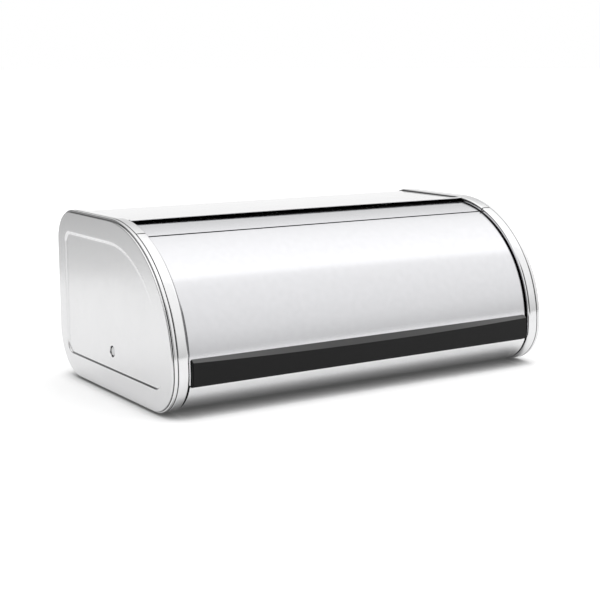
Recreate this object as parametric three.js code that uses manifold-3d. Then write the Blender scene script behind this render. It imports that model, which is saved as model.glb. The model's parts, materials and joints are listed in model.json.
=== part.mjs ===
// Bread box with a roll top: a sheet-steel box whose curved lid turns about two pivots in
// its sides and slides under the top panel.
// Millimetres, +X to the right, +Y to the back, +Z up. The origin is under the middle of
// the box, on the surface that its feet stand on.

import * as THREE from "three";
import { mergeVertices } from "three/addons/utils/BufferGeometryUtils.js";
import Module from "manifold-3d";

// ---------------------------------------------------------------- driving dimensions

const WIDTH = 437;
const DEPTH = 250;
const FOOT_HEIGHT = 1; // how far the feet stand out below the rims
const GAP = 0.3; // left between pieces that touch
const SHEET = 0.9; // thickness of the steel sheet

// The lid's pivot axis runs along X through this point, and the front of the box is an
// arc about it.
const AXIS_Y = 3;
const AXIS_Z = 42;
const FRONT_RADIUS = DEPTH / 2 + AXIS_Y;

// Rounded outline of the two rims, seen from the side.
const RIM = {
  frontRadius: FRONT_RADIUS,
  back: DEPTH / 2,
  bottom: FOOT_HEIGHT,
  rearTopRadius: 33,
  rearBottomRadius: 48,
  frontBottomRadius: 41,
};

// Outline of the shallow field pressed into each end panel.
const FIELD = {
  frontRadius: 105,
  back: 105.5,
  bottom: 24.5,
  rearTopRadius: 10,
  rearBottomRadius: 12,
  frontBottomRadius: 12,
};
const FIELD_DEPTH = 1.3;

// Stations along X, measured from the middle outwards.
const END_FACE_X = WIDTH / 2;
const END_PANEL_X = 217.5;
const BEAD_OUTER_X = 217.2;
const BEAD_INNER_X = 212.8;
const RIM_OUTER_X = 212.5;
const RIM_INNER_X = 202;
const LINER_X = 203.3;

const EDGE_ROUND = 0.9; // rounding of the end panel's edge
const EDGE_INSET = 1.6; // how far the end panel's edge lies inside the rim
const RIM_SHEET = 1.2;
const RIM_FLANGE = 9;
const BEAD_ROUND = 1.5;
const BEAD_WIDTH = 6.5;
const LINER_INSET = 1.6;

// The rim is made of two strips. They meet at a joint above the front, and under the box.
const RIM_JOINT_ANGLE = 22.5; // degrees forward of straight up, about the pivot axis
const RIM_JOINT_BOTTOM_Y = -40;

// The top panel turns up a little along its front edge, over the slot.
const TOP_PANEL_INSET = 1.7;
const TOP_PANEL_FRONT_Y = -11;
const TOP_PANEL_BEND_Y = -4.5;
const TOP_PANEL_RISE = 1.4;
const TOP_PANEL_HEM_RADIUS = 0.75;
const TOP_PANEL_LAP = 19; // overlap with the base pan
const TOP_PANEL_HALF_WIDTH = 201.6;

const BASE_INSET = 1;
const BASE_SHEET = 0.8;
const BASE_BACK_Y = 76;
const BASE_HALF_WIDTH = 200.2;
const LIP_TOP_Z = 30;
const LIP_HEM_RADIUS = 1.2;

const FOOT_RADIUS = 8;
const FOOT_CHAMFER = 0.6;
const FOOT_X = 180;
const FOOT_FRONT_Y = -75;
const FOOT_BACK_Y = 62;

// Lid, with its angles measured up from straight forward, about the pivot axis.
const LID_RADIUS = 124;
const LID_SHEET = 1;
const LID_HALF_WIDTH = 200.6;
const LID_FRONT_ANGLE = -5;
const LID_REAR_ANGLE = 90;

const ARM_INNER_X = 198.4;
const ARM_OUTER_X = 199.4;
const ARM_RADIUS = LID_RADIUS - LID_SHEET - 0.4;
const ARM_FRONT_ANGLE = -4.5;
const ARM_REAR_ANGLE = 89.5;
const ARM_HUB_RADIUS = 15;
const ARM_FLANGE_WIDTH = 12;

const STIFFENER_HALF_WIDTH = 184;
const STIFFENER_FRONT_ANGLE = 82;
const STIFFENER_REAR_ANGLE = 89;
const STIFFENER_HEIGHT = 5;

const HANDLE_HALF_LENGTH = 197.9;
const HANDLE_FRONT_Y = -DEPTH / 2;
const HANDLE_BOTTOM_Z = LIP_TOP_Z + GAP;
const HANDLE_FACE_TOP_Z = 52.2;
const HANDLE_TOP_Z = 54.8;

const SCREW_XS = [-150, -50, 50, 150];
const SCREW_RADIUS = 1.6;
const SCREW_HEAD_RADIUS = 4;
const SCREW_HEAD_HEIGHT = 2;
const SCREW_HEAD_Y = AXIS_Y - LID_RADIUS + LID_SHEET + GAP; // under the head, inside the lid
const SCREW_TIP_Y = SCREW_HEAD_Y - 3.7;

// Pivot, with the same parts on both sides.
const PIN_RADIUS = 3.3;
const PIN_END_X = 194;
const PIN_HEAD_RADIUS = 4.6;
const PIN_HEAD_HEIGHT = 0.9;
const DIMPLE_RADIUS = 5.8;
const DIMPLE_DEPTH = 2;
const BUSH_RADIUS = 5;
const BUSH_FLANGE_RADIUS = 9;
const BUSH_INNER_X = 196.2;
const BUSH_OUTER_X = 200.2;
const WASHER_RADIUS = 8;
const WASHER_X = 200.5;
const CLIP_RADIUS = 7;
const CLIP_INNER_X = 194.5;
const CLIP_OUTER_X = 195.9;
const SPACER_RADIUS = 6;

const ARC_STEPS = 14; // straight steps in each arc of an outline
const LID_STEPS = 28;
const ROUND_STEPS = 24; // sides of a small round piece
const SCREW_STEPS = 12;
const HEM_STEPS = 8;
const FAR = 400; // beyond every piece, for cutting tools

// ---------------------------------------------------------------- solids and tools

const wasm = await Module();
wasm.setup();

function toSolid(geometry) {
  const plain = geometry.index ? geometry.toNonIndexed() : geometry.clone();
  plain.deleteAttribute("normal");
  plain.deleteAttribute("uv");
  const merged = mergeVertices(plain, 1e-4);
  return new wasm.Manifold(
    new wasm.Mesh({
      numProp: 3,
      vertProperties: merged.attributes.position.array,
      triVerts: new Uint32Array(merged.index.array),
    }),
  );
}

function toGeometry(solid) {
  const mesh = solid.getMesh();
  const geometry = new THREE.BufferGeometry();
  geometry.setAttribute("position", new THREE.BufferAttribute(mesh.vertProperties, mesh.numProp));
  geometry.setIndex(new THREE.BufferAttribute(mesh.triVerts, 1));
  const faceted = geometry.toNonIndexed();
  faceted.computeVertexNormals();
  return faceted;
}

const radians = THREE.MathUtils.degToRad;

// Turns a geometry whose shape was drawn in (Y, Z) and extruded, so that it runs along X.
const SIDE_VIEW = new THREE.Matrix4().makeBasis(
  new THREE.Vector3(0, 1, 0),
  new THREE.Vector3(0, 0, 1),
  new THREE.Vector3(1, 0, 0),
);

// Extrudes a side-view shape from x0 to x1. A round eases both of its edges. ExtrudeGeometry
// puts two steps on an arc for each curve segment.
function alongX(shape, x0, x1, { round = 0, roundSteps = 1, steps = ARC_STEPS } = {}) {
  const geometry = new THREE.ExtrudeGeometry(shape, {
    depth: x1 - x0 - 2 * round,
    curveSegments: steps / 2,
    bevelEnabled: round > 0,
    bevelSize: round,
    bevelThickness: round,
    bevelSegments: roundSteps,
  });
  return toSolid(geometry.applyMatrix4(SIDE_VIEW).translate(x0 + round, 0, 0));
}

// A cylinder along X about the point (y, z).
function rodAlongX(radius, x0, x1, y = AXIS_Y, z = AXIS_Z, sides = ROUND_STEPS) {
  const geometry = new THREE.CylinderGeometry(radius, radius, x1 - x0, sides);
  geometry.rotateZ(Math.PI / 2).translate((x0 + x1) / 2, y, z);
  return toSolid(geometry);
}

// A ring along X about the pivot axis.
function ringAlongX(outerRadius, innerRadius, x0, x1) {
  const bore = rodAlongX(innerRadius, x0 - 1, x1 + 1);
  return rodAlongX(outerRadius, x0, x1).subtract(bore);
}

function box(x0, x1, y0, y1, z0, z1) {
  const geometry = new THREE.BoxGeometry(x1 - x0, y1 - y0, z1 - z0);
  return toSolid(geometry.translate((x0 + x1) / 2, (y0 + y1) / 2, (z0 + z1) / 2));
}

// The point at a distance from the pivot axis, at an angle up from straight forward.
function aboutAxis(radius, angle) {
  const y = AXIS_Y - radius * Math.cos(radians(angle));
  const z = AXIS_Z + radius * Math.sin(radians(angle));
  return new THREE.Vector2(y, z);
}

// Closed side-view outline: flat bottom, back and top, and a front arc about the pivot axis.
function sideOutline(dims, inset = 0, PathType = THREE.Shape) {
  const frontRadius = dims.frontRadius - inset;
  const back = dims.back - inset;
  const bottom = dims.bottom + inset;
  const top = AXIS_Z + frontRadius;
  const rearTop = dims.rearTopRadius - inset;
  const rearBottom = dims.rearBottomRadius - inset;
  const corner = dims.frontBottomRadius - inset;
  const cornerZ = bottom + corner;
  const cornerY = AXIS_Y - Math.sqrt((frontRadius - corner) ** 2 - (cornerZ - AXIS_Z) ** 2);
  const cornerAngle = Math.PI + Math.atan2(AXIS_Z - cornerZ, AXIS_Y - cornerY);
  const outline = new PathType();
  outline.moveTo(cornerY, bottom);
  outline.absarc(back - rearBottom, bottom + rearBottom, rearBottom, -Math.PI / 2, 0, false);
  outline.absarc(back - rearTop, top - rearTop, rearTop, 0, Math.PI / 2, false);
  outline.absarc(AXIS_Y, AXIS_Z, frontRadius, Math.PI / 2, cornerAngle, false);
  outline.absarc(cornerY, cornerZ, corner, cornerAngle, (3 * Math.PI) / 2, false);
  return outline;
}

// The outline with its middle left out.
function sideRing(outerInset, innerInset) {
  const ring = sideOutline(RIM, outerInset);
  ring.holes.push(sideOutline(RIM, innerInset, THREE.Path));
  return ring;
}

// A sheet seen edge on: a line of points and its copy a thickness to the right of it.
function sheetShape(points, thickness) {
  const inner = points.map((point, i) => {
    const before = points[Math.max(i - 1, 0)];
    const after = points[Math.min(i + 1, points.length - 1)];
    const along = after.clone().sub(before).normalize();
    return new THREE.Vector2(point.x + along.y * thickness, point.y - along.x * thickness);
  });
  return new THREE.Shape([...points, ...inner.reverse()]);
}

function arcPoints(centreY, centreZ, radius, fromDegrees, toDegrees, steps = ARC_STEPS) {
  const points = [];
  for (let i = 0; i <= steps; i++) {
    const angle = radians(fromDegrees + ((toDegrees - fromDegrees) * i) / steps);
    points.push(
      new THREE.Vector2(centreY + radius * Math.cos(angle), centreZ + radius * Math.sin(angle)),
    );
  }
  return points;
}

// Points of an arc about the pivot axis, from a lower to a higher lid angle.
function lidArc(radius, fromAngle, toAngle, steps = LID_STEPS) {
  return arcPoints(AXIS_Y, AXIS_Z, radius, 180 - fromAngle, 180 - toAngle, steps);
}

// ---------------------------------------------------------------- materials

function steel(color, roughness) {
  return new THREE.MeshStandardMaterial({ color, roughness, metalness: 1 });
}

function plastic(color, roughness) {
  return new THREE.MeshStandardMaterial({ color, roughness, metalness: 0 });
}

const polished = () => steel(0xe6e7ea, 0.12);
const pressed = () => steel(0xd8d9db, 0.3);
const plain = () => steel(0xb9bbbe, 0.4);
const blackPlastic = () => plastic(0x1c1c1d, 0.45);
const nylon = () => plastic(0xe9e6dc, 0.5);
const rubber = () => plastic(0x26262a, 0.85);

// ---------------------------------------------------------------- pieces of one side (+X)

// Pressed end panel: a plate with a rounded edge, a shallow field, and a dimple that holds
// the pivot pin's head.
function endPanel() {
  const outline = sideOutline(RIM, EDGE_INSET + EDGE_ROUND);
  const rounded = { round: EDGE_ROUND, roundSteps: 3 };
  const cushion = alongX(outline, END_PANEL_X - 2 * EDGE_ROUND, END_FACE_X, rounded);
  const innerHalf = box(0, END_PANEL_X, -FAR, FAR, -FAR, FAR);
  const fieldFace = END_FACE_X - FIELD_DEPTH;
  const dimpleFace = fieldFace - DIMPLE_DEPTH;
  const fieldBack = alongX(sideOutline(FIELD, -SHEET), fieldFace - SHEET, END_FACE_X - SHEET / 2);
  const field = alongX(sideOutline(FIELD), fieldFace, END_FACE_X + 1);
  const dimpleBack = rodAlongX(DIMPLE_RADIUS + SHEET, dimpleFace - SHEET, fieldFace - SHEET / 2);
  const dimple = rodAlongX(DIMPLE_RADIUS, dimpleFace, END_FACE_X + 1);
  const pinHole = rodAlongX(PIN_RADIUS + GAP, dimpleFace - 2, END_FACE_X + 1);
  return cushion
    .subtract(innerHalf)
    .add(fieldBack)
    .subtract(field)
    .add(dimpleBack)
    .subtract(dimple)
    .subtract(pinHole);
}

// Rounded bead that closes the seam between the end panel and the rim.
function edgeBead() {
  const ring = sideRing(BEAD_ROUND, BEAD_WIDTH - BEAD_ROUND);
  return alongX(ring, BEAD_INNER_X, BEAD_OUTER_X, { round: BEAD_ROUND, roundSteps: 2 });
}

// Channel-shaped rim, all the way round: a band with a flange turned in at both edges.
function wholeRim() {
  const band = alongX(sideRing(0, RIM_FLANGE), RIM_INNER_X, RIM_OUTER_X);
  const channel = sideRing(RIM_SHEET, RIM_FLANGE + 1);
  return band.subtract(alongX(channel, RIM_INNER_X + 1, RIM_OUTER_X - 1));
}

// Prism that holds the front strip of the rim, with its two cut faces moved back by a gap.
function frontOfRim(gap) {
  const jointAngle = 90 - RIM_JOINT_ANGLE + THREE.MathUtils.radToDeg(gap / FRONT_RADIUS);
  const joint = aboutAxis(FAR, jointAngle);
  const bottomY = RIM_JOINT_BOTTOM_Y + gap;
  const wedge = new THREE.Shape([
    new THREE.Vector2(-FAR, -FAR),
    new THREE.Vector2(bottomY, -FAR),
    new THREE.Vector2(bottomY, AXIS_Z),
    new THREE.Vector2(AXIS_Y, AXIS_Z),
    joint,
    new THREE.Vector2(-FAR, FAR),
  ]);
  return alongX(wedge, 0, END_FACE_X);
}

// Flat inner wall behind the rim, which carries the inner end of the pivot pin.
function sideLiner() {
  const plate = alongX(sideOutline(RIM, LINER_INSET), LINER_X, LINER_X + BASE_SHEET);
  return plate.subtract(rodAlongX(PIN_RADIUS + GAP, LINER_X - 1, LINER_X + 2));
}

// Pin with a low domed head that sits in the end panel's dimple.
function pivotPin() {
  const headX = END_FACE_X - FIELD_DEPTH - DIMPLE_DEPTH + GAP;
  const profile = [
    new THREE.Vector2(0, PIN_END_X),
    new THREE.Vector2(PIN_RADIUS - 0.6, PIN_END_X),
    new THREE.Vector2(PIN_RADIUS, PIN_END_X + 0.6),
    new THREE.Vector2(PIN_RADIUS, headX),
    new THREE.Vector2(PIN_HEAD_RADIUS, headX),
    new THREE.Vector2(PIN_HEAD_RADIUS * 0.85, headX + PIN_HEAD_HEIGHT * 0.65),
    new THREE.Vector2(PIN_HEAD_RADIUS * 0.5, headX + PIN_HEAD_HEIGHT * 0.92),
    new THREE.Vector2(0, headX + PIN_HEAD_HEIGHT),
  ];
  const geometry = new THREE.LatheGeometry(profile, ROUND_STEPS);
  geometry.rotateZ(-Math.PI / 2).translate(0, AXIS_Y, AXIS_Z);
  return toSolid(geometry);
}

// Tube that holds the end panel and the liner apart round the pin.
function pivotSpacer() {
  const innerX = LINER_X + BASE_SHEET + GAP;
  const outerX = END_FACE_X - FIELD_DEPTH - DIMPLE_DEPTH - SHEET - GAP;
  return ringAlongX(SPACER_RADIUS, PIN_RADIUS + GAP, innerX, outerX);
}

// Thrust washer between the liner and the lid's arm.
function pivotWasher() {
  return ringAlongX(WASHER_RADIUS, PIN_RADIUS + GAP, WASHER_X, LINER_X - GAP);
}

// Push-on clip that keeps the lid's arm on the pin.
function pivotClip() {
  return ringAlongX(CLIP_RADIUS, PIN_RADIUS + GAP, CLIP_INNER_X, CLIP_OUTER_X);
}

// Flanged bush pressed into the lid's arm, which turns on the pin.
function pivotBush() {
  const flangeEndX = ARM_INNER_X - GAP;
  const sleeve = rodAlongX(BUSH_RADIUS, BUSH_INNER_X, BUSH_OUTER_X);
  const flange = rodAlongX(BUSH_FLANGE_RADIUS, BUSH_INNER_X, flangeEndX);
  return sleeve.add(flange).subtract(rodAlongX(PIN_RADIUS + GAP, BUSH_INNER_X - 1, BUSH_OUTER_X + 1));
}

// Fan-shaped end plate of the lid, with a flange under the lid's sheet.
function lidArm() {
  const tangent = Math.acos(ARM_HUB_RADIUS / ARM_RADIUS);
  const frontEnd = radians(180 - ARM_FRONT_ANGLE);
  const rearEnd = radians(180 - ARM_REAR_ANGLE);
  const fan = new THREE.Shape();
  fan.moveTo(...aboutAxis(ARM_RADIUS, ARM_FRONT_ANGLE));
  fan.absarc(AXIS_Y, AXIS_Z, ARM_RADIUS, frontEnd, rearEnd, true);
  fan.absarc(AXIS_Y, AXIS_Z, ARM_HUB_RADIUS, rearEnd - tangent, frontEnd + tangent - 2 * Math.PI, true);
  const plate = alongX(fan, ARM_INNER_X, ARM_OUTER_X, { steps: LID_STEPS });
  const flangeLine = lidArc(ARM_RADIUS, ARM_FRONT_ANGLE, ARM_REAR_ANGLE);
  const flange = alongX(sheetShape(flangeLine, LID_SHEET), ARM_OUTER_X - ARM_FLANGE_WIDTH, ARM_OUTER_X);
  const bushHole = rodAlongX(BUSH_RADIUS + GAP, ARM_INNER_X - 1, ARM_OUTER_X + 1);
  return plate.add(flange).subtract(bushHole);
}

// ---------------------------------------------------------------- pieces across the width

// Top and back in one bent sheet, with a hem along the slot that the lid enters.
function topBackPanel() {
  const top = RIM.frontRadius + AXIS_Z - TOP_PANEL_INSET;
  const back = RIM.back - TOP_PANEL_INSET;
  const bottom = RIM.bottom + BASE_INSET + BASE_SHEET + GAP;
  const rearTop = RIM.rearTopRadius - TOP_PANEL_INSET;
  const rearBottom = RIM.rearBottomRadius - TOP_PANEL_INSET;
  const hemY = TOP_PANEL_FRONT_Y + TOP_PANEL_HEM_RADIUS;
  const line = [
    new THREE.Vector2(hemY, top + TOP_PANEL_RISE),
    new THREE.Vector2(TOP_PANEL_BEND_Y, top),
    ...arcPoints(back - rearTop, top - rearTop, rearTop, 90, 0),
    ...arcPoints(back - rearBottom, bottom + rearBottom, rearBottom, 0, -90),
    new THREE.Vector2(BASE_BACK_Y - TOP_PANEL_LAP, bottom),
  ];
  const sheet = alongX(sheetShape(line, SHEET), -TOP_PANEL_HALF_WIDTH, TOP_PANEL_HALF_WIDTH);
  const hemZ = top + TOP_PANEL_RISE - TOP_PANEL_HEM_RADIUS;
  const half = TOP_PANEL_HALF_WIDTH;
  return sheet.add(rodAlongX(TOP_PANEL_HEM_RADIUS, -half, half, hemY, hemZ, HEM_STEPS));
}

// Bottom of the box, curving up at the front into the lip that the closed lid rests on.
function basePan() {
  const bottom = RIM.bottom + BASE_INSET;
  const corner = RIM.frontBottomRadius - BASE_INSET;
  const cornerY = AXIS_Y - RIM.frontRadius + RIM.frontBottomRadius;
  const cornerZ = bottom + corner;
  const hemCentreRadius = corner - LIP_HEM_RADIUS;
  const hemZ = LIP_TOP_Z - LIP_HEM_RADIUS;
  const lipAngle = THREE.MathUtils.radToDeg(Math.asin((cornerZ - hemZ) / hemCentreRadius));
  const hemY = cornerY - hemCentreRadius * Math.cos(radians(lipAngle));
  const line = [
    new THREE.Vector2(BASE_BACK_Y, bottom),
    ...arcPoints(cornerY, cornerZ, corner, 270, 180 + lipAngle),
  ];
  const half = BASE_HALF_WIDTH;
  const sheet = alongX(sheetShape(line, BASE_SHEET), -half, half);
  return sheet.add(rodAlongX(LIP_HEM_RADIUS, -half, half, hemY, hemZ, HEM_STEPS));
}

// Round rubber foot under the base pan.
function foot(x, y) {
  const top = RIM.bottom + BASE_INSET - GAP;
  const profile = [
    new THREE.Vector2(0, 0),
    new THREE.Vector2(FOOT_RADIUS - FOOT_CHAMFER, 0),
    new THREE.Vector2(FOOT_RADIUS, FOOT_CHAMFER),
    new THREE.Vector2(FOOT_RADIUS, top),
    new THREE.Vector2(0, top),
  ];
  const geometry = new THREE.LatheGeometry(profile, ROUND_STEPS);
  return toSolid(geometry.rotateX(Math.PI / 2).translate(x, y, 0));
}

// Screws run forward from inside the lid, at the height of the pivot axis.
function screwHole(x) {
  const radius = SCREW_RADIUS + GAP;
  const deepEnd = SCREW_TIP_Y - GAP;
  const openEnd = SCREW_HEAD_Y + SCREW_HEAD_HEIGHT;
  const geometry = new THREE.CylinderGeometry(radius, radius, openEnd - deepEnd, SCREW_STEPS);
  return toSolid(geometry.translate(x, (openEnd + deepEnd) / 2, AXIS_Z));
}

function lidSheet() {
  const line = lidArc(LID_RADIUS, LID_FRONT_ANGLE, LID_REAR_ANGLE);
  const sheet = alongX(sheetShape(line, LID_SHEET), -LID_HALF_WIDTH, LID_HALF_WIDTH);
  return SCREW_XS.reduce((solid, x) => solid.subtract(screwHole(x)), sheet);
}

// Bar along the lid's rear edge that keeps the sheet straight.
function lidStiffener() {
  const outerRadius = LID_RADIUS - LID_SHEET - GAP;
  const line = lidArc(outerRadius, STIFFENER_FRONT_ANGLE, STIFFENER_REAR_ANGLE, 3);
  const bar = sheetShape(line, STIFFENER_HEIGHT);
  return alongX(bar, -STIFFENER_HALF_WIDTH, STIFFENER_HALF_WIDTH);
}

// Bar handle whose back follows the lid and whose top slopes back up to it.
function handle() {
  const backRadius = LID_RADIUS + GAP;
  const bottomAngle = THREE.MathUtils.radToDeg(Math.asin((HANDLE_BOTTOM_Z - AXIS_Z) / backRadius));
  const topAngle = THREE.MathUtils.radToDeg(Math.asin((HANDLE_TOP_Z - AXIS_Z) / backRadius));
  const section = new THREE.Shape([
    new THREE.Vector2(HANDLE_FRONT_Y, HANDLE_BOTTOM_Z),
    ...lidArc(backRadius, bottomAngle, topAngle, 6),
    new THREE.Vector2(HANDLE_FRONT_Y, HANDLE_FACE_TOP_Z),
  ]);
  const bar = alongX(section, -HANDLE_HALF_LENGTH, HANDLE_HALF_LENGTH);
  return SCREW_XS.reduce((solid, x) => solid.subtract(screwHole(x)), bar);
}

function handleScrew(x) {
  const profile = [
    new THREE.Vector2(0, SCREW_TIP_Y),
    new THREE.Vector2(SCREW_RADIUS, SCREW_TIP_Y + SCREW_RADIUS),
    new THREE.Vector2(SCREW_RADIUS, SCREW_HEAD_Y),
    new THREE.Vector2(SCREW_HEAD_RADIUS, SCREW_HEAD_Y),
    new THREE.Vector2(SCREW_HEAD_RADIUS * 0.8, SCREW_HEAD_Y + SCREW_HEAD_HEIGHT * 0.75),
    new THREE.Vector2(0, SCREW_HEAD_Y + SCREW_HEAD_HEIGHT),
  ];
  const geometry = new THREE.LatheGeometry(profile, SCREW_STEPS);
  return toSolid(geometry.translate(x, 0, AXIS_Z));
}

// ---------------------------------------------------------------- assembly

const breadBox = new THREE.Group();

function addPiece(parent, name, solid, material) {
  const mesh = new THREE.Mesh(toGeometry(solid), material);
  mesh.name = name;
  parent.add(mesh);
}

const rim = wholeRim();
const SIDE_PIECES = [
  ["end_panel", endPanel(), pressed],
  ["edge_bead", edgeBead(), polished],
  ["front_rim", rim.intersect(frontOfRim(0)), polished],
  ["rear_rim", rim.subtract(frontOfRim(GAP)), polished],
  ["side_liner", sideLiner(), plain],
  ["pivot_pin", pivotPin(), plain],
  ["pivot_spacer", pivotSpacer(), plain],
  ["pivot_washer", pivotWasher(), nylon],
  ["pivot_clip", pivotClip(), plain],
  ["pivot_bush", pivotBush(), nylon],
  ["lid_arm", lidArm(), plain],
];

for (const [side, mirror] of [["right", 1], ["left", -1]]) {
  const half = new THREE.Group();
  half.scale.x = mirror;
  breadBox.add(half);
  for (const [piece, solid, material] of SIDE_PIECES) {
    addPiece(half, `${side}_${piece}`, solid, material());
  }
}

for (const [side, x] of [["right", FOOT_X], ["left", -FOOT_X]]) {
  addPiece(breadBox, `${side}_front_foot`, foot(x, FOOT_FRONT_Y), rubber());
  addPiece(breadBox, `${side}_rear_foot`, foot(x, FOOT_BACK_Y), rubber());
}

addPiece(breadBox, "top_back_panel", topBackPanel(), polished());
addPiece(breadBox, "base_pan", basePan(), polished());
addPiece(breadBox, "lid_sheet", lidSheet(), polished());
addPiece(breadBox, "lid_rear_stiffener", lidStiffener(), plain());
addPiece(breadBox, "handle", handle(), blackPlastic());
SCREW_XS.forEach((x, i) => {
  addPiece(breadBox, `handle_screw_${i + 1}`, handleScrew(x), plain());
});

export default breadBox;
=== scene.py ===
"""Bread box with a roll top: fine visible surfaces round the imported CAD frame, with studio.

Every length is in metres. +X is the box's right, +Y its back, +Z up. Side views are drawn
in (Y, Z). An angle about the pivot axis is 0 straight forward and 90 straight up.
"""

import json
import math

import bpy
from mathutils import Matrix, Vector


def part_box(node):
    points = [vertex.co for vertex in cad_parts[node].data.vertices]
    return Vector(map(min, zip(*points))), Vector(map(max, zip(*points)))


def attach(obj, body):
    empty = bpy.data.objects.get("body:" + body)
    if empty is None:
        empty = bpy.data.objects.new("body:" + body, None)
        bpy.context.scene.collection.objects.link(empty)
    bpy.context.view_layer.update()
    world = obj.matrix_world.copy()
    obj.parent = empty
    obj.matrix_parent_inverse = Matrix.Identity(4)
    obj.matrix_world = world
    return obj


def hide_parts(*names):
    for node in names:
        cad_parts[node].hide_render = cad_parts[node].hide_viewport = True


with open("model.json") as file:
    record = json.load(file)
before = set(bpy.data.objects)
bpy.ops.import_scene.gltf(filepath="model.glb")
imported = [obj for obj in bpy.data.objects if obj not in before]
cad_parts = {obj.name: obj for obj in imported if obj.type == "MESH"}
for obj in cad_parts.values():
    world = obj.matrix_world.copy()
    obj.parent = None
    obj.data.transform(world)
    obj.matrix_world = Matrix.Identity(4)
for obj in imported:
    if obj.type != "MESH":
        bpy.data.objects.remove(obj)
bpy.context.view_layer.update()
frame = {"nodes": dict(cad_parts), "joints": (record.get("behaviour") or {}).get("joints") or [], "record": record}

MM = 0.001

# ---------------------------------------------------------------- sizes from the frame

pivot = frame["joints"][0]["pos_m"]
AXIS_Y, AXIS_Z = pivot[1], pivot[2]

rim_low, rim_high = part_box("right_rear_rim")
bead_low, bead_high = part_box("right_edge_bead")
panel_low, panel_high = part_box("right_end_panel")
top_low, top_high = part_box("top_back_panel")
base_low, base_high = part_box("base_pan")
lid_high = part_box("lid_sheet")[1]
handle_low, handle_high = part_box("handle")

FRONT_RADIUS = rim_high.z - AXIS_Z
LID_RADIUS = lid_high.z - AXIS_Z

# Rounded side outlines: the rim's, and that of the field pressed into the end panels.
RIM = {
    "front": FRONT_RADIUS,
    "back": rim_high.y,
    "bottom": rim_low.z,
    "rear_top": 33 * MM,
    "rear_bottom": 48 * MM,
    "front_bottom": 41 * MM,
}
FIELD = {
    "front": 105 * MM,
    "back": 105.5 * MM,
    "bottom": 24.5 * MM,
    "rear_top": 10 * MM,
    "rear_bottom": 12 * MM,
    "front_bottom": 12 * MM,
}

RIM_JOINT_ANGLE = 112.5  # degrees, counter-clockwise from +Y in the side view
RIM_JOINT_BOTTOM_Y = -40 * MM
RIM_JOINT_GAP = 1.3 * MM
RIM_DEPTH = 9 * MM
RIM_INNER_ROUND = 2.1 * MM
RIM_OUTER_ROUND = 0.6 * MM
BEAD_RIM_GROOVE = 0.35 * MM  # grooves beside the bead's crown
BEAD_PANEL_GROOVE = 0.8 * MM
BEAD_ROUND = 0.7 * MM
BEAD_DEPTH = 6 * MM

EDGE_ROUND = 0.9 * MM
FIELD_DEPTH = 1.5 * MM
FIELD_SLOPE = 3.2 * MM
FIELD_BOTTOM_SLOPE = 1.7 * MM
FIELD_SLOPE_CHANGE = 8 * MM  # height over which the bottom slope turns into the others'
FLAT_MARGIN = 0.5 * MM  # flat ring beside a curve, which keeps the shading of the flats clean
DIMPLE_RADIUS = 5.8 * MM
DIMPLE_DEPTH = 2 * MM
DIMPLE_SLOPE = 0.8 * MM
PIN_HOLE_RADIUS = 3.6 * MM
PANEL_SHEET = 0.7 * MM

LID_SHEET = 1 * MM
SIDE_EDGE_ROUND = 1.8 * MM  # where the lid and the base pan curve in beside the rims
LID_FRONT_ANGLE = -5
LID_REAR_ANGLE = 90
CREASE_ANGLE = 67.5
CREASE_WIDTH = 2 * MM
CREASE_DEPTH = 1.3 * MM

# The top panel's front edge turns up, a little further in the middle than at the ends.
TOP_SHEET = 0.6 * MM
TOP_FLAT_Z = 168.3 * MM
TOP_BEND_Y = -4.5 * MM
TOP_BEND_RADIUS = 8 * MM
TOP_HEM_RADIUS = 0.75 * MM
TOP_EDGE_BOW = 0.5 * MM
TOP_END_Y = 57 * MM
LIP_HEM_RADIUS = 1.2 * MM
BASE_SHEET = 0.8 * MM

HANDLE_BOW = 3.4 * MM
HANDLE_FACE_END_Z = 52.2 * MM
HANDLE_BACK_GAP = 0.3 * MM  # between the handle and the lid

ARC_STEPS = 40
LID_STEPS = 160
EDGE_STEPS = 8  # round a small edge
TOP_STATIONS = 32
HANDLE_STATIONS = 64


# ---------------------------------------------------------------- outlines

def arc(centre_y, centre_z, radius, start, end, steps=ARC_STEPS):
    """Points of an arc in the side view, from one angle to another in degrees."""
    points = []
    for i in range(steps + 1):
        angle = math.radians(start + (end - start) * i / steps)
        points.append((centre_y + radius * math.cos(angle), centre_z + radius * math.sin(angle)))
    return points


def straight(start, end, steps=ARC_STEPS):
    """Points along a straight line in the side view, after its start and up to its end."""
    points = []
    for i in range(1, steps + 1):
        share = i / steps
        points.append((
            start[0] + (end[0] - start[0]) * share, start[1] + (end[1] - start[1]) * share
        ))
    return points


def lid_arc(radius, start, end, steps):
    """Points of an arc about the pivot axis, between two lid angles."""
    return arc(AXIS_Y, AXIS_Z, radius, 180 - start, 180 - end, steps)


def corner_centre(dims, inset=0.0):
    """Centre of the bottom front corner, which is tangent to the front arc and the bottom."""
    radius = dims["front_bottom"] - inset
    z = dims["bottom"] + inset + radius
    y = AXIS_Y - math.sqrt((dims["front"] - dims["front_bottom"]) ** 2 - (z - AXIS_Z) ** 2)
    return y, z


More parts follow.
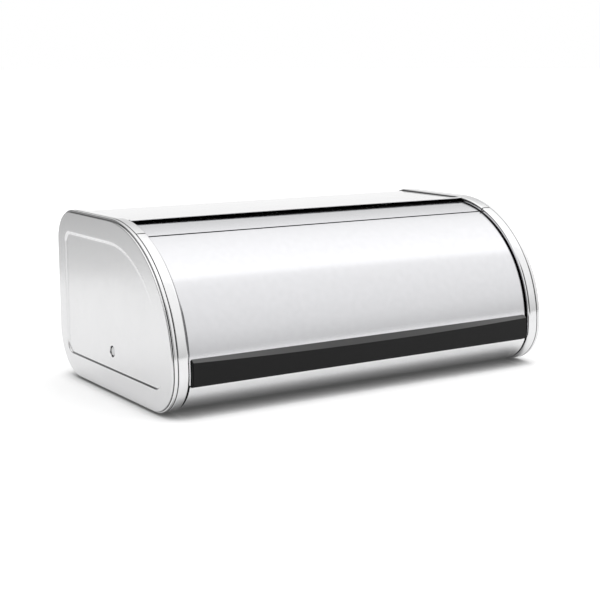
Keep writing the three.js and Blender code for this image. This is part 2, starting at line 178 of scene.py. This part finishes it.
def side_outline(dims, inset=0.0, gap=0.0):
    """Closed side outline as two runs: the front strip's, from the upper joint to the lower
    one, and the rear strip's, from the lower joint back to the upper one. Two outlines have
    matching points. A gap parts the runs at both joints."""
    front = dims["front"] - inset
    back = dims["back"] - inset
    bottom = dims["bottom"] + inset
    top = AXIS_Z + front
    rear_top = dims["rear_top"] - inset
    rear_bottom = dims["rear_bottom"] - inset
    corner = dims["front_bottom"] - inset
    corner_y, corner_z = corner_centre(dims, inset)
    corner_angle = 180 + math.degrees(math.atan2(AXIS_Z - corner_z, AXIS_Y - corner_y))
    half_gap = math.degrees(gap / 2 / front)
    front_start = RIM_JOINT_ANGLE + half_gap
    rear_end = RIM_JOINT_ANGLE - half_gap
    front_run = arc(AXIS_Y, AXIS_Z, front, front_start, corner_angle, 2 * ARC_STEPS)
    front_run += arc(corner_y, corner_z, corner, corner_angle, 270)[1:]
    front_run += straight(front_run[-1], (RIM_JOINT_BOTTOM_Y - gap / 2, bottom))
    rear_run = [(RIM_JOINT_BOTTOM_Y + gap / 2, bottom)]
    rear_run += straight(rear_run[-1], (back - rear_bottom, bottom), 2 * ARC_STEPS)
    rear_run += arc(back - rear_bottom, bottom + rear_bottom, rear_bottom, -90, 0)[1:]
    rear_run += arc(back - rear_top, top - rear_top, rear_top, 0, 90)
    rear_run += arc(AXIS_Y, AXIS_Z, front, 90, rear_end, ARC_STEPS // 2)
    return front_run, rear_run


def closed_outline(dims, inset=0.0):
    front_run, rear_run = side_outline(dims, inset)
    return front_run[:-1] + rear_run[:-1]


# ---------------------------------------------------------------- meshes

def finish_mesh(name, points, faces, body, stands_for, material, bevel=0.0, solid=0.0):
    """Makes the piece, shades it smooth, parents it to its body and hides the CAD parts it stands for."""
    mesh = bpy.data.meshes.new(name)
    mesh.from_pydata([tuple(point) for point in points], [], faces)
    mesh.validate()
    mesh.update()
    mesh.polygons.foreach_set("use_smooth", [True] * len(mesh.polygons))
    mesh.set_sharp_from_angle(angle=math.radians(35))
    piece = bpy.data.objects.new(name, mesh)
    bpy.context.scene.collection.objects.link(piece)
    mesh.materials.append(material)
    if solid:
        thicken = piece.modifiers.new("thickness", "SOLIDIFY")
        thicken.thickness = solid
        thicken.offset = -1
        thicken.use_even_offset = True
    if bevel:
        soften(piece, bevel)
    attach(piece, body)
    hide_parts(*stands_for)
    return piece


def soften(piece, width, segments=3):
    """Rounds the piece's sharp edges."""
    edges = piece.modifiers.new("soft_edges", "BEVEL")
    edges.width = width
    edges.segments = segments
    edges.limit_method = "ANGLE"
    edges.angle_limit = math.radians(35)
    edges.harden_normals = True


def loft(rings, ring_closed, loft_closed, caps=False):
    """Quads between successive rings of equal length. Returns points and faces."""
    count = len(rings[0])
    points = [point for ring in rings for point in ring]
    faces = []
    ring_pairs = len(rings) if loft_closed else len(rings) - 1
    steps = count if ring_closed else count - 1
    for i in range(ring_pairs):
        for j in range(steps):
            a = i * count + j
            b = i * count + (j + 1) % count
            c = ((i + 1) % len(rings)) * count + (j + 1) % count
            d = ((i + 1) % len(rings)) * count + j
            faces.append((a, b, c, d))
    if caps:
        faces.append(tuple(range(count))[::-1])
        last = (len(rings) - 1) * count
        faces.append(tuple(range(last, last + count)))
    return points, faces


def mirrored(points, faces, side):
    """The same mesh on the left for side -1, with its faces turned round."""
    if side > 0:
        return points, faces
    return [(-x, y, z) for x, y, z in points], [tuple(reversed(face)) for face in faces]


def strip_of_rim(section, run_name, side):
    """A bar of closed section, swept along the front or rear run of the rim."""
    runs = []
    for x, inset in section:
        front_run, rear_run = side_outline(RIM, inset, RIM_JOINT_GAP)
        runs.append([(x, y, z) for y, z in (front_run if run_name == "front" else rear_run)])
    rings = [list(ring) for ring in zip(*runs)]
    points, faces = loft(rings, ring_closed=True, loft_closed=False, caps=True)
    return mirrored(points, faces, side)


def ring_of_rim(section, side):
    """A bar of closed section, swept all the way round the rim."""
    rings = [[(x, y, z) for y, z in closed_outline(RIM, inset)] for x, inset in section]
    points, faces = loft(rings, ring_closed=True, loft_closed=True)
    return mirrored(points, faces, side)


def sheet_mesh(line_at, thickness, stations):
    """A bent sheet that runs along X through the stations. At each one, line_at gives the
    side view of its outer side, and the other side lies a thickness to the right of it."""
    rings = []
    for x in stations:
        line = line_at(x)
        inner = []
        for i, (y, z) in enumerate(line):
            before = Vector(line[max(i - 1, 0)])
            after = Vector(line[min(i + 1, len(line) - 1)])
            along = (after - before).normalized()
            inner.append((x, y + along.y * thickness, z - along.x * thickness))
        rings.append([(x, y, z) for y, z in line] + inner[::-1])
    points, faces = loft(rings, ring_closed=True, loft_closed=False)
    count = len(rings[0])
    last = (len(rings) - 1) * count
    for i in range(count // 2 - 1):
        strip = (i, i + 1, count - 2 - i, count - 1 - i)
        faces.append(strip[::-1])
        faces.append(tuple(last + corner for corner in strip))
    return points, faces


def evenly(low, high, steps):
    return [low + (high - low) * i / steps for i in range(steps + 1)]


# ---------------------------------------------------------------- materials

ALONG_X = (0.02, 1, 1)
ALONG_Z = (1, 1, 0.02)
GRAIN_SCALE = 900
WIPING_SCALE = 14
SPECK_SCALE = 160
STEEL_WEAR_WIDTH = 0.5 * MM
PLASTIC_WEAR_WIDTH = 0.4 * MM
# Painted shade: crevices and narrow gaps in the steels are darkened to near black.
CREVICE_SHADE_COLOUR = (0.015, 0.015, 0.016)
CREVICE_SHADE_REACH = 3 * MM
CREVICE_SHADE_SHARES = (0.35, 0.88)  # open share of the sky at which the painted crevice shade is full, and gone


def new_material(name):
    material = bpy.data.materials.new(name)
    material.use_nodes = True
    tree = material.node_tree
    shader = tree.nodes["Principled BSDF"]
    place = tree.nodes.new("ShaderNodeTexCoord").outputs["Object"]
    return material, tree, shader, place


def noise(tree, place, scale, stretch=(1, 1, 1), detail=2.0):
    """Noise of a size, drawn out along some axes."""
    mapping = tree.nodes.new("ShaderNodeMapping")
    mapping.inputs["Scale"].default_value = stretch
    tree.links.new(place, mapping.inputs["Vector"])
    texture = tree.nodes.new("ShaderNodeTexNoise")
    texture.inputs["Scale"].default_value = scale
    texture.inputs["Detail"].default_value = detail
    tree.links.new(mapping.outputs["Vector"], texture.inputs["Vector"])
    return texture.outputs["Fac"]


def spread(tree, value, low, high):
    """A noise value spread from low to high."""
    node = tree.nodes.new("ShaderNodeMapRange")
    node.inputs["From Min"].default_value = 0.25
    node.inputs["From Max"].default_value = 0.75
    node.inputs["To Min"].default_value = low
    node.inputs["To Max"].default_value = high
    tree.links.new(value, node.inputs["Value"])
    return node.outputs["Result"]


def mix(tree, factor, first, second):
    """A colour between two, by a value from 0 to 1. Each is a colour or a socket."""
    node = tree.nodes.new("ShaderNodeMix")
    node.data_type = "RGBA"
    tree.links.new(factor, node.inputs["Factor"])
    for name, colour in (("A", first), ("B", second)):
        if isinstance(colour, tuple):
            node.inputs[name].default_value = (*colour, 1)
        else:
            tree.links.new(colour, node.inputs[name])
    return node.outputs["Result"]


def smooth_step(tree, value, start, end, low=0.0, high=1.0):
    """Goes smoothly from low to high as the value goes from start to end."""
    node = tree.nodes.new("ShaderNodeMapRange")
    node.interpolation_type = "SMOOTHSTEP"
    node.inputs["From Min"].default_value = start
    node.inputs["From Max"].default_value = end
    node.inputs["To Min"].default_value = low
    node.inputs["To Max"].default_value = high
    tree.links.new(value, node.inputs["Value"])
    return node.outputs["Result"]


def calculate(tree, operation, first, second=None):
    """One math step on sockets or numbers."""
    node = tree.nodes.new("ShaderNodeMath")
    node.operation = operation
    for i, value in enumerate((first, second)):
        if isinstance(value, (int, float)):
            node.inputs[i].default_value = value
        elif value is not None:
            tree.links.new(value, node.inputs[i])
    return node.outputs["Value"]


def relief(tree, height, depth):
    """A bump of a depth in metres."""
    node = tree.nodes.new("ShaderNodeBump")
    node.inputs["Strength"].default_value = 1.0
    node.inputs["Distance"].default_value = depth
    tree.links.new(height, node.inputs["Height"])
    return node.outputs["Normal"]


def painted_shade_openness(tree, reach, shares):
    """0 deep in a narrow gap and 1 in the open, from ambient occlusion; it sets where shade is painted into gaps
    and near other parts.
    """
    node = tree.nodes.new("ShaderNodeAmbientOcclusion")
    node.samples = 8
    node.inputs["Distance"].default_value = reach
    return smooth_step(tree, node.outputs["AO"], *shares)


def worn_edges(tree, width):
    """1 along sharp edges that hands and cloths rub, and 0 on open faces."""
    rounded = tree.nodes.new("ShaderNodeBevel")
    rounded.samples = 4
    rounded.inputs["Radius"].default_value = width
    geometry = tree.nodes.new("ShaderNodeNewGeometry")
    likeness = tree.nodes.new("ShaderNodeVectorMath")
    likeness.operation = "DOT_PRODUCT"
    tree.links.new(rounded.outputs["Normal"], likeness.inputs[0])
    tree.links.new(geometry.outputs["Normal"], likeness.inputs[1])
    return smooth_step(tree, likeness.outputs["Value"], 0.99, 0.8)


def looks_up(tree):
    """1 on faces that look up, where fine dust settles, and 0 on upright ones."""
    geometry = tree.nodes.new("ShaderNodeNewGeometry")
    parts = tree.nodes.new("ShaderNodeSeparateXYZ")
    tree.links.new(geometry.outputs["Normal"], parts.inputs["Vector"])
    return smooth_step(tree, parts.outputs["Z"], 0.2, 0.9)


def steel(name, colour, roughness, grain_stretch, grain_depth):
    """Steel with a grain along one axis, faint wiping marks and specks, and brighter worn edges.
    Its crevices and narrow gaps carry painted shade, darkened to near black."""
    material, tree, shader, place = new_material(name)
    grain = noise(tree, place, GRAIN_SCALE, grain_stretch, 3)
    wiping = noise(tree, place, WIPING_SCALE, detail=4)
    speck = noise(tree, place, SPECK_SCALE)
    worn = worn_edges(tree, STEEL_WEAR_WIDTH)
    darker = tuple(channel * 0.97 for channel in colour)
    brighter = tuple(min(1.0, channel * 1.08) for channel in colour)
    face = mix(tree, spread(tree, speck, 0, 1), darker, colour)
    rubbed = mix(tree, worn, face, brighter)
    # Painted shade: ambient occlusion darkens crevices and narrow gaps to near black.
    unshaded = painted_shade_openness(tree, CREVICE_SHADE_REACH, CREVICE_SHADE_SHARES)
    tree.links.new(mix(tree, unshaded, CREVICE_SHADE_COLOUR, rubbed), shader.inputs["Base Color"])
    finish = spread(tree, wiping, roughness * 0.85, roughness * 1.2)
    streaks = spread(tree, grain, -0.015, 0.015)
    scuffs = calculate(tree, "MULTIPLY", worn, 0.06)
    grained = calculate(tree, "ADD", finish, streaks)
    tree.links.new(calculate(tree, "ADD", grained, scuffs), shader.inputs["Roughness"])
    tree.links.new(relief(tree, grain, grain_depth), shader.inputs["Normal"])
    shader.inputs["Metallic"].default_value = 1
    return material


def plastic(name, colour, roughness, gloss, texture_scale, texture_depth):
    """Moulded plastic or rubber with a fine surface texture, dust on top and paler worn
    edges."""
    material, tree, shader, place = new_material(name)
    texture = noise(tree, place, texture_scale, detail=3)
    wiping = noise(tree, place, 20, detail=4)
    lighter = tuple(channel * 1.15 + 0.001 for channel in colour)
    rubbed = tuple(channel * 1.5 + 0.01 for channel in colour)
    dusty = tuple(channel * 1.5 + 0.1 for channel in colour)
    face = mix(tree, spread(tree, wiping, 0, 1), colour, lighter)
    topped = mix(tree, looks_up(tree), face, dusty)
    worn = worn_edges(tree, PLASTIC_WEAR_WIDTH)
    tree.links.new(mix(tree, worn, topped, rubbed), shader.inputs["Base Color"])
    tree.links.new(spread(tree, wiping, roughness * 0.9, roughness * 1.1), shader.inputs["Roughness"])
    tree.links.new(relief(tree, texture, texture_depth), shader.inputs["Normal"])
    shader.inputs["Specular IOR Level"].default_value = gloss
    return material


POLISHED = steel("polished_steel", (0.7, 0.7, 0.705), 0.09, ALONG_X, 0.4e-6)
LID_STEEL = steel("lid_steel", (0.62, 0.62, 0.635), 0.14, ALONG_X, 0.6e-6)
PRESSED = steel("pressed_steel", (0.66, 0.66, 0.665), 0.19, ALONG_Z, 1.5e-6)
PLAIN = steel("plain_steel", (0.55, 0.555, 0.56), 0.3, ALONG_Z, 2e-6)
BLACK = plastic("black_plastic", (0.003, 0.003, 0.0032), 0.34, 0.18, 900, 6e-6)
NYLON = plastic("natural_nylon", (0.72, 0.7, 0.63), 0.5, 0.5, 1500, 4e-6)
RUBBER = plastic("foot_rubber", (0.02, 0.02, 0.022), 0.8, 0.3, 1200, 1e-5)

SLOT_MATERIALS = {
    "polished_steel": POLISHED,
    "lid_steel": LID_STEEL,
    "pressed_steel": PRESSED,
    "plain_steel": PLAIN,
    "black_plastic": BLACK,
    "nylon": NYLON,
    "foot_rubber": RUBBER,
}


# ---------------------------------------------------------------- the two ends

def rounded_section(x0, x1, depth, inner_round, outer_round):
    """Closed section of a bar, as (x, inset) points, with its two outer edges rounded."""
    quarter = [math.radians(90 * i / EDGE_STEPS) for i in range(EDGE_STEPS + 1)]
    section = [(x0, depth)]
    for angle in quarter:
        x = x0 + inner_round * (1 - math.cos(angle))
        section.append((x, inner_round * (1 - math.sin(angle))))
    for angle in quarter:
        x = x1 - outer_round * (1 - math.sin(angle))
        section.append((x, outer_round * (1 - math.cos(angle))))
    section.append((x1, depth))
    return section


def make_rims(side, name):
    section = rounded_section(rim_low.x, rim_high.x, RIM_DEPTH, RIM_INNER_ROUND, RIM_OUTER_ROUND)
    for run_name in ("front", "rear"):
        points, faces = strip_of_rim(section, run_name, side)
        node = f"{name}_{run_name}_rim"
        finish_mesh(f"{node}_surface", points, faces, "housing", [node], POLISHED)


def make_bead(side, name):
    inner = bead_low.x + BEAD_RIM_GROOVE
    outer = bead_high.x - BEAD_PANEL_GROOVE
    section = rounded_section(inner, outer, BEAD_DEPTH, BEAD_ROUND, BEAD_ROUND)
    points, faces = ring_of_rim(section, side)
    node = f"{name}_edge_bead"
    finish_mesh(f"{node}_surface", points, faces, "housing", [node], POLISHED)


def field_outline(across):
    """Outline of the field, across its slope from -0.5 outside to 0.5 inside. Beyond these it
    lies on the flat. The slope is steeper along the bottom."""
    gentle = closed_outline(FIELD, FIELD_SLOPE * across)
    steep = closed_outline(FIELD, FIELD_BOTTOM_SLOPE * across)
    outline = []
    for (gentle_y, gentle_z), (steep_y, steep_z) in zip(gentle, steep):
        height = (steep_z - FIELD["bottom"]) / FIELD_SLOPE_CHANGE
        share = min(1.0, max(0.0, height))
        outline.append((
            steep_y + (gentle_y - steep_y) * share,
            steep_z + (gentle_z - steep_z) * share,
        ))
    return outline


def end_panel_rings():
    """Rings of the end panel's outer face, from its wall to the pin hole."""
    face_x = panel_high.x
    wall_inset = rim_high.y - panel_high.y
    rings = [[(panel_low.x, y, z) for y, z in closed_outline(RIM, wall_inset)]]
    steps = 10
    for i in range(steps + 1):
        angle = math.radians(90 * i / steps)
        x = face_x - EDGE_ROUND * (1 - math.sin(angle))
        inset = wall_inset + EDGE_ROUND * (1 - math.cos(angle))
        rings.append([(x, y, z) for y, z in closed_outline(RIM, inset)])
    flat_inset = wall_inset + EDGE_ROUND + FLAT_MARGIN
    rings.append([(face_x, y, z) for y, z in closed_outline(RIM, flat_inset)])
    rings.append([(face_x, y, z) for y, z in field_outline(-1)])
    for i in range(11):
        across = i / 10
        x = face_x - FIELD_DEPTH * (1 - math.cos(math.pi * across)) / 2
        rings.append([(x, y, z) for y, z in field_outline(across - 0.5)])
    floor_x = face_x - FIELD_DEPTH
    rings.append([(floor_x, y, z) for y, z in field_outline(1)])
    outline = closed_outline(FIELD, 0)
    dimple = [(DIMPLE_RADIUS + 2 * FLAT_MARGIN, floor_x), (DIMPLE_RADIUS + FLAT_MARGIN, floor_x)]
    for i in range(EDGE_STEPS + 1):
        across = i / EDGE_STEPS
        depth = DIMPLE_DEPTH * (1 - math.cos(math.pi * across)) / 2
        dimple.append((DIMPLE_RADIUS - DIMPLE_SLOPE * across, floor_x - depth))
    dimple.append((PIN_HOLE_RADIUS, floor_x - DIMPLE_DEPTH))
    for radius, x in dimple:
        ring = []
        for y, z in outline:
            angle = math.atan2(z - AXIS_Z, y - AXIS_Y)
            ring.append((x, AXIS_Y + radius * math.cos(angle), AXIS_Z + radius * math.sin(angle)))
        rings.append(ring)
    return rings


def make_end_panel(side, name):
    points, faces = loft(end_panel_rings(), ring_closed=True, loft_closed=False)
    points, faces = mirrored(points, faces, side)
    node = f"{name}_end_panel"
    finish_mesh(
        f"{node}_surface", points, faces, "housing", [node], PRESSED,
        solid=PANEL_SHEET,
    )


for side, name in ((1, "right"), (-1, "left")):
    make_rims(side, name)
    make_bead(side, name)
    make_end_panel(side, name)


# ---------------------------------------------------------------- sheets across the width

def make_top_back_panel():
    top = TOP_FLAT_Z
    back = top_high.y
    bottom = top_low.z
    inset = rim_high.z - top
    rear_top = RIM["rear_top"] - inset
    rear_bottom = RIM["rear_bottom"] - inset
    radius = TOP_HEM_RADIUS

    def line_at(x):
        end_drop = TOP_EDGE_BOW * (x / top_high.x) ** 2
        line = arc(top_low.y + radius, top_high.z - end_drop - radius, radius, 330, 80, 12)
        line += arc(TOP_BEND_Y, top + TOP_BEND_RADIUS, TOP_BEND_RADIUS, 262, 270, 6)
        line += arc(back - rear_top, top - rear_top, rear_top, 90, 0)
        line += arc(back - rear_bottom, bottom + rear_bottom, rear_bottom, 0, -90)
        line.append((TOP_END_Y, bottom))
        return line

    points, faces = sheet_mesh(line_at, TOP_SHEET, evenly(top_low.x, top_high.x, TOP_STATIONS))
    finish_mesh(
        "top_back_panel_surface", points, faces, "housing", ["top_back_panel"],
        POLISHED,
    )


def side_edge_drops(half_width):
    """Stations along X, with how far a sheet's surface has curved in at each one."""
    right = []
    for i in range(EDGE_STEPS + 1):
        angle = math.radians(90 * i / EDGE_STEPS)
        x = half_width - SIDE_EDGE_ROUND * (1 - math.sin(angle))
        right.append((x, SIDE_EDGE_ROUND * (1 - math.cos(angle))))
    left = [(-x, drop) for x, drop in reversed(right)]
    return dict(left + right)


def make_base_pan():
    drops = side_edge_drops(base_high.x)
    corner_y, corner_z = corner_centre(RIM)
    hem_z = base_high.z - LIP_HEM_RADIUS

    def line_at(x):
        bottom = base_low.z + drops[x]
        corner = corner_z - bottom
        hem_centre_radius = corner - LIP_HEM_RADIUS
        lip_angle = math.degrees(math.asin((corner_z - hem_z) / hem_centre_radius))
        hem_y = corner_y - hem_centre_radius * math.cos(math.radians(lip_angle))
        line = [(base_high.y, bottom)]
        line += arc(corner_y, corner_z, corner, 270, 180 + lip_angle)
        line += arc(hem_y, hem_z, LIP_HEM_RADIUS, 180 + lip_angle, -30, 16)[1:]
        return line

    points, faces = sheet_mesh(line_at, BASE_SHEET, sorted(drops))
    finish_mesh(
        "base_pan_surface", points, faces, "housing", ["base_pan"], POLISHED
    )


def make_lid_sheet():
    drops = side_edge_drops(lid_high.x)
    half = math.degrees(CREASE_WIDTH / 2 / LID_RADIUS)
    lower_steps = LID_STEPS * 3 // 4
    upper_steps = LID_STEPS // 4

    def line_at(x):
        radius = LID_RADIUS - drops[x]
        line = lid_arc(radius, LID_FRONT_ANGLE, CREASE_ANGLE - half, lower_steps)
        groove = radius - CREASE_DEPTH
        line += lid_arc(groove, CREASE_ANGLE - half * 0.8, CREASE_ANGLE + half * 0.8, 2)
        line += lid_arc(radius, CREASE_ANGLE + half, LID_REAR_ANGLE, upper_steps)
        return line

    points, faces = sheet_mesh(line_at, LID_SHEET, sorted(drops))
    finish_mesh(
        "lid_sheet_surface", points, faces, "lid", ["lid_sheet"], LID_STEEL
    )


def make_handle():
    """Bar whose face is lower in the middle, so that its sloping top is widest there."""
    back_radius = LID_RADIUS + HANDLE_BACK_GAP
    back_bottom = math.degrees(math.asin((handle_low.z - AXIS_Z) / back_radius))
    back_top = math.degrees(math.asin((handle_high.z - AXIS_Z) / back_radius))
    rings = []
    for x in evenly(handle_low.x, handle_high.x, HANDLE_STATIONS):
        middle = 1 - (x / handle_high.x) ** 2
        face_top = HANDLE_FACE_END_Z - HANDLE_BOW * middle
        ring = [(x, handle_low.y, handle_low.z)]
        ring += [(x, y, z) for y, z in lid_arc(back_radius, back_bottom, back_top, 8)]
        ring.append((x, handle_low.y, face_top))
        rings.append(ring)
    points, faces = loft(rings, ring_closed=True, loft_closed=False, caps=True)
    finish_mesh(
        "handle_surface", points, faces, "lid", ["handle"], BLACK, bevel=0.5 * MM
    )


make_top_back_panel()
make_base_pan()
make_lid_sheet()
make_handle()


# ---------------------------------------------------------------- CAD nodes that stay

replaced_nodes = {
    "lid_sheet", "handle", "base_pan", "top_back_panel",
    *(f"{name}_{part}" for name in ("left", "right")
      for part in ("front_rim", "rear_rim", "edge_bead", "end_panel")),
}
slot_of_node = {part["node"]: part["material_slot"] for part in frame["record"]["subparts"]}
for node_name, node in frame["nodes"].items():
    if node_name in replaced_nodes:
        continue
    node.data.materials.clear()
    node.data.materials.append(SLOT_MATERIALS[slot_of_node[node_name]])
    soften(node, 0.15 * MM, 2)


# ---------------------------------------------------------------- studio

FLOOR_SIZE = 150.0
FLOOR_COLOUR = (0.92, 0.92, 0.92)
FLOOR_GLOW = 0.22  # the paper lies on a light table
CONTACT_SHADOW_COLOUR = (0.32, 0.32, 0.32)  # painted contact shadow on the paper close under the box
CONTACT_SHADOW_REACH = 24 * MM
CONTACT_SHADOW_SHARES = (0.15, 0.9)

# Grey card behind the box to its left, which shows in reflections only.
CARD_CENTRE = (-0.6, 0.58)
CARD_WIDTH = 1.6
CARD_HEIGHT = 0.4
CARD_LIGHT = (0.9, 0.4)  # at its foot and its top

# Brightness of the studio by the angle about the X axis: 0 is the front horizon, 90 is
# overhead and 180 is the back horizon.
WORLD_PEAK = 1.72
WORLD_STOPS = [
    (0, 0.8), (10, 0.98), (20, 1.12), (40, 1.24), (56, 1.31), (66, 1.37), (71, 1.7),
    (100, 1.55), (120, 1.4), (136, 1.08), (150, 0.88), (169, 0.86), (176, 1.14), (180, 1.14),
]

# Black flags in the white room. Each edge goes from where the flag starts to where it is
# full. A turn is in degrees to the right of the front, and the other edges are parts of a
# direction of length 1.
FRONT_FLAG = {"left_turn": (-72, -54), "right_turn": (22, 8), "top": (0.74, 0.6), "darkness": 0.85}
BACK_FLAG = {
    "front": (-0.05, 0.2), "right": (0.42, 0.22), "top": (0.66, 0.5), "foot": (0.0, 0.06),
    "darkness": 0.97,
}
RIGHT_FLAG = {"left": (0.88, 0.95), "top": (0.36, 0.22), "darkness": 0.85}

CAMERA_TARGET = Vector((-0.00393, 0, 0.07196))
CAMERA_AZIMUTH = -33.11
CAMERA_ELEVATION = 10.03
CAMERA_DISTANCE = 1.3672
CAMERA_LENS = 78.84


def make_floor():
    size = FLOOR_SIZE
    mesh = bpy.data.meshes.new("studio_floor")
    mesh.from_pydata(
        [(-size, -size, 0), (size, -size, 0), (size, size, 0), (-size, size, 0)], [], [(0, 1, 2, 3)]
    )
    floor = bpy.data.objects.new("studio_floor", mesh)
    bpy.context.scene.collection.objects.link(floor)
    material, tree, shader, _ = new_material("studio_paper")
    # Painted contact shadow: the paper darkens near the box by ambient occlusion, and its glow carries that shade
    # too.
    shade = painted_shade_openness(tree, CONTACT_SHADOW_REACH, CONTACT_SHADOW_SHARES)
    paper = mix(tree, shade, CONTACT_SHADOW_COLOUR, FLOOR_COLOUR)
    tree.links.new(paper, shader.inputs["Base Color"])
    tree.links.new(paper, shader.inputs["Emission Color"])
    shader.inputs["Emission Strength"].default_value = FLOOR_GLOW
    shader.inputs["Roughness"].default_value = 0.9
    shader.inputs["Specular IOR Level"].default_value = 0.1
    mesh.materials.append(material)


def make_card():
    """A card that faces the box's left end."""
    centre = Vector((*CARD_CENTRE, 0))
    along = Vector((centre.y, -centre.x, 0)).normalized() * CARD_WIDTH / 2
    up = Vector((0, 0, CARD_HEIGHT))
    low_left, low_right = centre - along, centre + along
    mesh = bpy.data.meshes.new("studio_card")
    corners = [low_left, low_right, low_right + up, low_left + up]
    mesh.from_pydata([tuple(corner) for corner in corners], [], [(0, 1, 2, 3)])
    card = bpy.data.objects.new("studio_card", mesh)
    bpy.context.scene.collection.objects.link(card)
    material, tree, shader, place = new_material("studio_card_grey")
    shader.inputs["Base Color"].default_value = (0, 0, 0, 1)
    shader.inputs["Specular IOR Level"].default_value = 0
    parts = tree.nodes.new("ShaderNodeSeparateXYZ")
    tree.links.new(place, parts.inputs["Vector"])
    foot_light, top_light = CARD_LIGHT
    light = smooth_step(tree, parts.outputs["Z"], 0.0, CARD_HEIGHT / 2, foot_light, top_light)
    tree.links.new(light, shader.inputs["Emission Strength"])
    shader.inputs["Emission Color"].default_value = (1, 1, 1, 1)
    mesh.materials.append(material)
    card.visible_camera = False
    card.visible_diffuse = False
    card.visible_transmission = False
    card.visible_shadow = False


def white_room(tree, y, z):
    """Brightness of the studio's white walls and ceiling."""
    angle = calculate(tree, "ARCTAN2", z, calculate(tree, "MULTIPLY", y, -1))
    ramp = tree.nodes.new("ShaderNodeValToRGB")
    ramp.color_ramp.interpolation = "LINEAR"
    elements = ramp.color_ramp.elements
    while len(elements) < len(WORLD_STOPS):
        elements.new(0.5)
    for element, (degrees, level) in zip(elements, WORLD_STOPS):
        element.position = degrees / 180
        element.color = (level / WORLD_PEAK,) * 3 + (1,)
    tree.links.new(calculate(tree, "DIVIDE", angle, math.pi), ramp.inputs["Fac"])
    return calculate(tree, "MULTIPLY", ramp.outputs["Color"], WORLD_PEAK)


def all_of(tree, *masks):
    product = masks[0]
    for mask in masks[1:]:
        product = calculate(tree, "MULTIPLY", product, mask)
    return product


def make_world():
    """Soft studio light: a white room with three black flags, in front towards the camera,
    behind to the left, and far to the right. Seen directly it is plain white, like the paper."""
    world = bpy.data.worlds.new("studio")
    bpy.context.scene.world = world
    world.use_nodes = True
    tree = world.node_tree
    background = tree.nodes["Background"]
    direction = tree.nodes.new("ShaderNodeTexCoord").outputs["Generated"]
    parts = tree.nodes.new("ShaderNodeSeparateXYZ")
    tree.links.new(direction, parts.inputs["Vector"])
    x = parts.outputs["X"]
    y = parts.outputs["Y"]
    z = calculate(tree, "ABSOLUTE", parts.outputs["Z"])
    turn = calculate(tree, "ARCTAN2", x, calculate(tree, "MULTIPLY", y, -1))
    front_flag = all_of(
        tree,
        smooth_step(tree, turn, *map(math.radians, FRONT_FLAG["left_turn"])),
        smooth_step(tree, turn, *map(math.radians, FRONT_FLAG["right_turn"])),
        smooth_step(tree, z, *FRONT_FLAG["top"], 0, FRONT_FLAG["darkness"]),
    )
    back_flag = all_of(
        tree,
        smooth_step(tree, y, *BACK_FLAG["front"]),
        smooth_step(tree, x, *BACK_FLAG["right"]),
        smooth_step(tree, z, *BACK_FLAG["top"]),
        smooth_step(tree, z, *BACK_FLAG["foot"], 0, BACK_FLAG["darkness"]),
    )
    right_flag = all_of(
        tree,
        smooth_step(tree, x, *RIGHT_FLAG["left"]),
        smooth_step(tree, z, *RIGHT_FLAG["top"], 0, RIGHT_FLAG["darkness"]),
    )
    light = white_room(tree, y, z)
    for flag in (front_flag, back_flag, right_flag):
        light = calculate(tree, "MULTIPLY", light, calculate(tree, "SUBTRACT", 1, flag))
    seen = tree.nodes.new("ShaderNodeLightPath").outputs["Is Camera Ray"]
    unseen_light = calculate(tree, "MULTIPLY", light, calculate(tree, "SUBTRACT", 1, seen))
    strength = calculate(tree, "ADD", unseen_light, seen)
    tree.links.new(strength, background.inputs["Strength"])
    background.inputs["Color"].default_value = (1, 1, 1, 1)


def make_camera():
    camera = bpy.data.objects.new("camera", bpy.data.cameras.new("camera"))
    bpy.context.scene.collection.objects.link(camera)
    azimuth = math.radians(CAMERA_AZIMUTH)
    elevation = math.radians(CAMERA_ELEVATION)
    towards = Vector((
        math.sin(azimuth) * math.cos(elevation),
        -math.cos(azimuth) * math.cos(elevation),
        math.sin(elevation),
    ))
    camera.location = CAMERA_TARGET + towards * CAMERA_DISTANCE
    camera.rotation_mode = "QUATERNION"
    camera.rotation_quaternion = (-towards).to_track_quat("-Z", "Y")
    camera.data.lens = CAMERA_LENS
    camera.data.sensor_width = 36
    camera.data.clip_end = 2 * FLOOR_SIZE
    bpy.context.scene.camera = camera


make_floor()
make_card()
make_world()
make_camera()
bpy.context.scene.view_settings.view_transform = "Standard"
